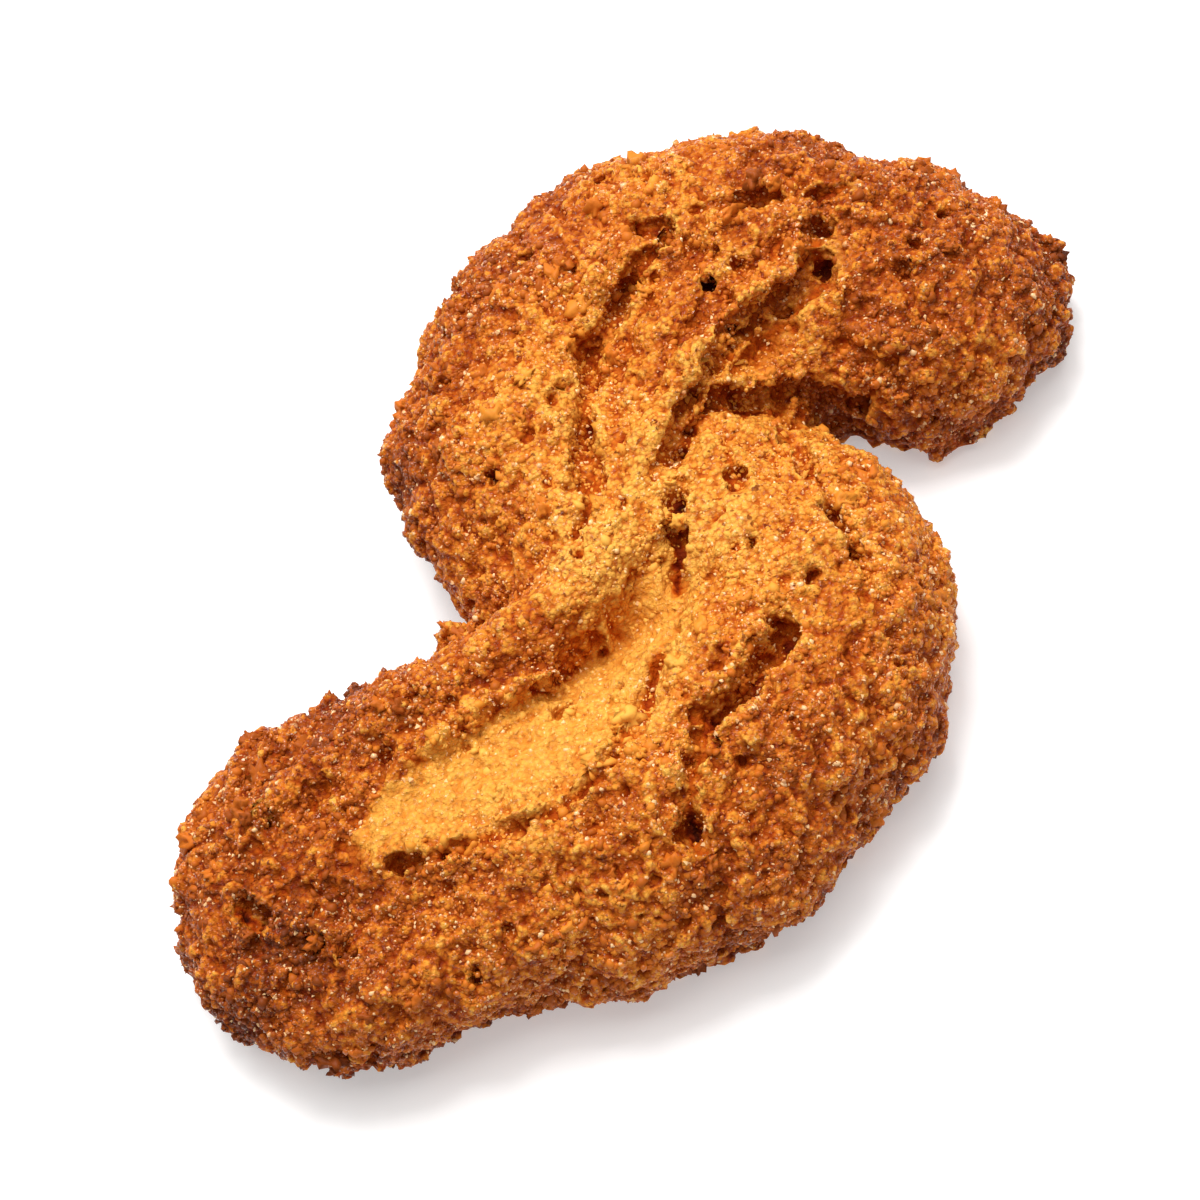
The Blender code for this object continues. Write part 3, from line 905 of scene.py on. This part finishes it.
def linear(hex_colour):
    """The linear colour of an sRGB hex value."""
    channels = [int(hex_colour[i:i + 2], 16) / 255 for i in (0, 2, 4)]
    return [c / 12.92 if c <= 0.04045 else ((c + 0.055) / 1.055) ** 2.4 for c in channels] + [1.0]


def add_node(tree, kind, settings=None, stops=(), out=0, **links):
    """Adds a node, sets its properties and colour stops, fills its inputs, and gives one of its outputs."""
    node = tree.nodes.new(kind)
    for name, value in (settings or {}).items():
        setattr(node, name, value)
    for position, colour in stops[1:-1]:
        node.color_ramp.elements.new(position)
    for number, (position, colour) in enumerate(stops):
        node.color_ramp.elements[number].position = position
        node.color_ramp.elements[number].color = linear(colour)
    for name, value in links.items():
        socket = node.inputs[int(name[1:])] if name[1:].isdigit() else node.inputs[name.replace("_", " ")]
        if isinstance(value, bpy.types.NodeSocket):
            tree.links.new(value, socket)
        else:
            socket.default_value = value
    return node.outputs[out]


def new_material(name, fixed):
    """A material, its node tree and its shader. What is the same all over goes straight on the sockets."""
    material = bpy.data.materials.new(name)
    material.use_nodes = True
    shader = material.node_tree.nodes["Principled BSDF"]
    for socket, value in fixed.items():
        shader.inputs[socket].default_value = value
    return material, material.node_tree, shader


BROWNING_STOPS = [(0.0, PALE_CRUMB), (0.28, GOLDEN), (0.52, ORANGE_BROWN), (0.76, BROWN), (1.0, CARAMEL)]
# The bare crumb's ramp ends in the gold of its flecks and of painted shade in its hollows
BARE_STOPS = [(0.0, PALE_CRUMB), (0.5, GOLDEN), (1.0, HOLLOW_SHADE_GOLD)]
# Inputs named i0, i1 and so on go by number. In a colour mix 0 is the factor, 6 and 7 are the two colours,
# and output 2 is the mixed colour. Each of these is a kind of node with its settings
COLOUR_MIX = ("ShaderNodeMix", {"data_type": "RGBA"})
COLOUR_MULTIPLY = ("ShaderNodeMix", {"data_type": "RGBA", "blend_type": "MULTIPLY"})
MULTIPLY_ADD = ("ShaderNodeMath", {"operation": "MULTIPLY_ADD"})
MULTIPLY = ("ShaderNodeMath", {"operation": "MULTIPLY"})
SUBTRACT = ("ShaderNodeMath", {"operation": "SUBTRACT"})


# %% Baked crust
# Real sizes: flecks of browning, pits of burst bubbles shown only as painted shade, and half-millimetre
# granules of dough
SPECKLE_MM = 0.9
PIT_MM = 0.8
BEAD_MM = 0.45
# Sugar dust is about 0.1 mm. That is too fine to show, so its grit is drawn this coarse
GRIT_MM = 0.28
# How much flecks change the browning, how much hollows darken it as painted shade and tips lighten it
# as painted light, and what is taken off to keep it level
FLECKS = 0.7
SHADE_BY_HOLLOWS = 0.5
BROWNING_SHIFT = 0.35
# The same for the bare crumb
BARE_FLECKS = 1.1
BARE_SHADE_BY_HOLLOWS = 0.6
BARE_SHIFT = -0.35
# Each colour of painted shade in a hollow: where it starts, how fast it comes with each mm, and the colour
HOLLOW_SHADE_COLOURS = [(-0.10, 1.0, HOLLOW_SHADE_ORANGE), (-0.8, 0.9, HOLLOW_SHADE_RED), (-1.6, 0.8, GAP_SHADE_BROWN)]
# Pits of painted shade lie where the noise is lower than this, and have soft rims
PIT_BELOW = (0.32, 0.38)
# The gaps between granules are darkened as painted shade, by distance from their middles
GAP_FROM = (0.35, 0.80)
# Painted shade in pits and gaps covers the colour by this share at most
COVER = 0.8
# Bare crumb has pits and gaps half as strong
CRUMB_CALM = -0.5
# How far granules and grit seem to stand out, in mm
BEAD_RELIEF = 0.20
GRIT_RELIEF = 0.30
RELIEF_STRENGTH = 0.8
# Sugar melted where the grit is higher than this, and less and less in hollows from 0.1 to 0.7 mm deep
SUGAR_ABOVE = (0.55, 0.59)
DRY_HOLLOWS = (0.1, 0.7)
# A dry crust hardly shines by itself. Melted sugar is smooth, and its index of refraction is about 1.5
CRUST_ROUGHNESS = 0.55
CRUST_SHINE = 0.06
SUGAR_ROUGHNESS = 0.08
SUGAR_IOR = 1.5


def crust_material():
    """Baked short dough, browned and cracked by the oven: dry, warm and mottled, with small wet glints."""
    material, tree, shader = new_material("baked_short_dough", {
        "Roughness": CRUST_ROUGHNESS, "Specular IOR Level": CRUST_SHINE,
        "Coat Roughness": SUGAR_ROUGHNESS, "Coat IOR": SUGAR_IOR})
    place = add_node(tree, "ShaderNodeTexCoord", out="Object")
    brown, hollow, crumb = [add_node(tree, "ShaderNodeAttribute", {"attribute_name": name}, out="Fac")
                            for name in ("brown", "hollow", "crumb")]
    speckle, pit_noise, grit = [
        add_node(tree, "ShaderNodeTexNoise", Vector=place, Scale=1 / (size * MM), Detail=detail,
                 Roughness=0.6)
        for size, detail in ((SPECKLE_MM, 4.0), (PIT_MM, 2.0), (GRIT_MM, 3.0))]
    beads = add_node(tree, "ShaderNodeTexVoronoi", Vector=place, Scale=1 / (BEAD_MM * MM))

    # The crust browns by the oven and by patches of its own. Hollows are made browner as painted shade,
    # and the tips of its granules paler as painted light
    uneven = add_node(tree, *MULTIPLY_ADD, i0=speckle, i1=FLECKS, i2=brown)
    level = add_node(tree, *MULTIPLY_ADD, i0=hollow, i1=SHADE_BY_HOLLOWS, i2=uneven)
    shifted = add_node(tree, *SUBTRACT, i0=level, i1=BROWNING_SHIFT)
    crust = add_node(tree, "ShaderNodeValToRGB", stops=BROWNING_STOPS, i0=shifted)
    flecked = add_node(tree, *MULTIPLY_ADD, i0=speckle, i1=BARE_FLECKS, i2=BARE_SHIFT)
    bare_level = add_node(tree, *MULTIPLY_ADD, i0=hollow, i1=BARE_SHADE_BY_HOLLOWS, i2=flecked)
    bare = add_node(tree, "ShaderNodeValToRGB", stops=BARE_STOPS, i0=bare_level)
    colour = add_node(tree, *COLOUR_MIX, out=2, i0=crumb, i6=crust, i7=bare)

    # Painted shade: hollows turn orange and then red, and the gaps between grit and the small pits are
    # darkest
    for start, steep, hue in HOLLOW_SHADE_COLOURS:
        depth = add_node(tree, "ShaderNodeMath", {"operation": "MULTIPLY_ADD", "use_clamp": True},
                         i0=hollow, i1=steep, i2=start)
        colour = add_node(tree, *COLOUR_MIX, out=2, i0=depth, i6=colour, i7=linear(hue))
    crust_only = add_node(tree, *MULTIPLY_ADD, i0=crumb, i1=CRUMB_CALM, i2=1.0)
    pit = add_node(tree, "ShaderNodeMapRange", Value=pit_noise, From_Min=PIT_BELOW[0], From_Max=PIT_BELOW[1],
                   To_Min=COVER, To_Max=0.0)
    pit = add_node(tree, *MULTIPLY, i0=pit, i1=crust_only)
    pit_shade_colour = add_node(tree, *COLOUR_MIX, out=2, i0=crumb, i6=linear(PIT_SHADE_RED),
                          i7=linear(HOLLOW_SHADE_GOLD))
    colour = add_node(tree, *COLOUR_MIX, out=2, i0=pit, i6=colour, i7=pit_shade_colour)
    gap = add_node(tree, "ShaderNodeMapRange", Value=beads, From_Min=GAP_FROM[0], From_Max=GAP_FROM[1],
                   To_Max=COVER)
    gap = add_node(tree, *MULTIPLY, i0=gap, i1=crust_only)
    between = add_node(tree, *COLOUR_MULTIPLY, out=2, i0=gap, i6=colour,
                       i7=linear(GRIT_GAP_SHADE))
    tree.links.new(between, shader.inputs["Base Color"])

    # Granules and grit stand up, and sugar has melted on part of the grit
    rounded = add_node(tree, "ShaderNodeBump", {"invert": True}, Height=beads, Strength=RELIEF_STRENGTH,
                       Distance=BEAD_RELIEF * MM)
    bump = add_node(tree, "ShaderNodeBump", Height=grit, Strength=RELIEF_STRENGTH,
                    Distance=GRIT_RELIEF * MM, Normal=rounded)
    tree.links.new(bump, shader.inputs["Normal"])
    tree.links.new(bump, shader.inputs["Coat Normal"])
    sugar = add_node(tree, "ShaderNodeMapRange", Value=grit, From_Min=SUGAR_ABOVE[0],
                     From_Max=SUGAR_ABOVE[1], To_Max=1.0)
    raised = add_node(tree, "ShaderNodeMapRange", Value=hollow, From_Min=DRY_HOLLOWS[0],
                      From_Max=DRY_HOLLOWS[1], To_Min=1.0, To_Max=0.0)
    glaze = add_node(tree, *MULTIPLY, i0=sugar, i1=raised)
    tree.links.new(glaze, shader.inputs["Coat Weight"])
    return material


dough.data.materials.clear()
dough.data.materials.append(crust_material())
print("crust:", dough.data.materials[0].name)

# %% [markdown]
# ## The grains' materials
#
# Grains are crumbs of the same dough, or sugar that melted on it. One function makes them all, because they
# differ only in gloss and in how many of them are clear sugar. Clear sugar could be glass, but grains this
# small only look pale and wet, so a pale colour under a smooth coat gives the same glints in less time.

# %% Crumb and sugar
# How much a grain's own shade moves its browning, and what is taken off to keep it level
SHADE_SHARE = 0.3
SHADE_SHIFT = 0.15
# Multiplying the shade by this and keeping the fraction draws lots that don't follow the shade
LOT_FACTOR = 37.0
# A clear grain is this much the pale colour of sugar, which also stands for its glints as painted highlight
CLEARNESS = 0.8
GRAIN_SHINE = 0.15


def grain_material(name, paler, roughness, gloss, sugary):
    """Crumb or sugar: the crust's browning, shifted a little for each grain, and a share of clear sugar whose
    pale colour is partly painted highlight.
    """
    material, tree, shader = new_material(name, {
        "Roughness": roughness, "Specular IOR Level": GRAIN_SHINE, "Coat Weight": gloss,
        "Coat Roughness": SUGAR_ROUGHNESS, "Coat IOR": SUGAR_IOR})
    brown, shade = [add_node(tree, "ShaderNodeAttribute", {"attribute_name": name}, out="Fac")
                    for name in ("brown", "shade")]
    level = add_node(tree, *MULTIPLY_ADD, i0=shade, i1=SHADE_SHARE, i2=brown)
    shifted = add_node(tree, *SUBTRACT, i0=level, i1=SHADE_SHIFT + paler)
    colour = add_node(tree, "ShaderNodeValToRGB", stops=BROWNING_STOPS, i0=shifted)
    scrambled = add_node(tree, *MULTIPLY, i0=shade, i1=LOT_FACTOR)
    lot = add_node(tree, "ShaderNodeMath", {"operation": "FRACT"}, i0=scrambled)
    clear = add_node(tree, "ShaderNodeMapRange", Value=lot, From_Min=sugary, From_Max=sugary * 0.6,
                     To_Max=CLEARNESS)
    sugared = add_node(tree, *COLOUR_MIX, out=2, i0=clear, i6=colour, i7=linear(SUGAR_AND_GLINT))
    tree.links.new(sugared, shader.inputs["Base Color"])
    return material


# Dry crumb, toasted with the crust: no glints at all
toasted_crumb = grain_material("toasted_crumb", 0.0, 0.5, 0.0, 0.0)
large_crumbs.data.materials.append(toasted_crumb)
small_crumbs.data.materials.append(toasted_crumb)
# Sugar that melted and set again: the smoothest and palest grains, with sharp glints from their coat
# and painted highlight in the pale colour of some
sugar_grains.data.materials.append(grain_material("melted_sugar", 0.04, 0.3, 0.8, 0.16))
# Crumb under a film of melted sugar: brown, with a wet look
glazed_beads.data.materials.append(grain_material("glazed_crumb", 0.0, 0.4, 0.6, 0.05))
# Crushed sugar and crumb, baked on: a third are pale sparkling flecks, their paleness partly painted
# highlight
fine_grit.data.materials.append(grain_material("sugar_grit", 0.0, 0.4, 0.3, 0.34))
print("materials:", ", ".join(material.name for material in bpy.data.materials))

# %% [markdown]
# ## Telling the frame about the pieces
#
# The dough stands for the solid cookie, and the crumbs lie on it. All of them ride on the one body.

# %% Frame
pieces = [dough, large_crumbs, small_crumbs, sugar_grains, glazed_beads, fine_grit]
for piece in pieces:
    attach(piece, "root")
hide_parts("cookie")
print("pieces:", ", ".join(piece.name for piece in pieces))

# %% [markdown]
# ## Floor and light
#
# A white sheet and one large softbox, high and behind the cookie, as in the photograph. A small bright lamp
# just in front of it makes the glints on the sugar: in one plane with the softbox, it would be hidden by it.
# The white surroundings fill the near walls.

# %% Studio
KEY_PLACE = Vector((0.06, 0.22, 0.58))
KEY_SIZE = 0.80
KEY_POWER = 4.4
LAMP_PLACE = KEY_PLACE * 0.93
LAMP_SIZE = 0.20
LAMP_POWER = 2.0
SKY = 0.36
# Matte white paper on a light table, which thins the shadow
FLOOR_COLOUR = "E0DFDE"
FLOOR_SIZE = 3.0
PAPER_ROUGHNESS = 0.9
TABLE_LIGHT = 0.34
WHITE = (1.0, 1.0, 1.0, 1.0)

floor_mesh = bmesh.new()
bmesh.ops.create_grid(floor_mesh, x_segments=1, y_segments=1, size=FLOOR_SIZE)
floor = bpy.data.objects.new("floor", bpy.data.meshes.new("floor"))
floor_mesh.to_mesh(floor.data)
floor_mesh.free()
bpy.context.collection.objects.link(floor)
paper = new_material("white_paper", {
    "Base Color": linear(FLOOR_COLOUR), "Roughness": PAPER_ROUGHNESS,
    "Emission Color": WHITE, "Emission Strength": TABLE_LIGHT})[0]
floor.data.materials.append(paper)

# %% Lights
for name, light_place, size, power in (("softbox", KEY_PLACE, KEY_SIZE, KEY_POWER),
                                       ("lamp", LAMP_PLACE, LAMP_SIZE, LAMP_POWER)):
    light = bpy.data.objects.new(name, bpy.data.lights.new(name, "AREA"))
    light.data.size = size
    light.data.energy = power
    bpy.context.collection.objects.link(light)
    aim(light, light_place, Vector((0, 0, 0)))
world = bpy.data.worlds.new("white_room")
world.use_nodes = True
world.node_tree.nodes["Background"].inputs["Color"].default_value = WHITE
world.node_tree.nodes["Background"].inputs["Strength"].default_value = SKY
bpy.context.scene.world = world
bpy.context.scene.view_settings.view_transform = "Standard"
print("lights:", ", ".join(light.name for light in bpy.data.lights))
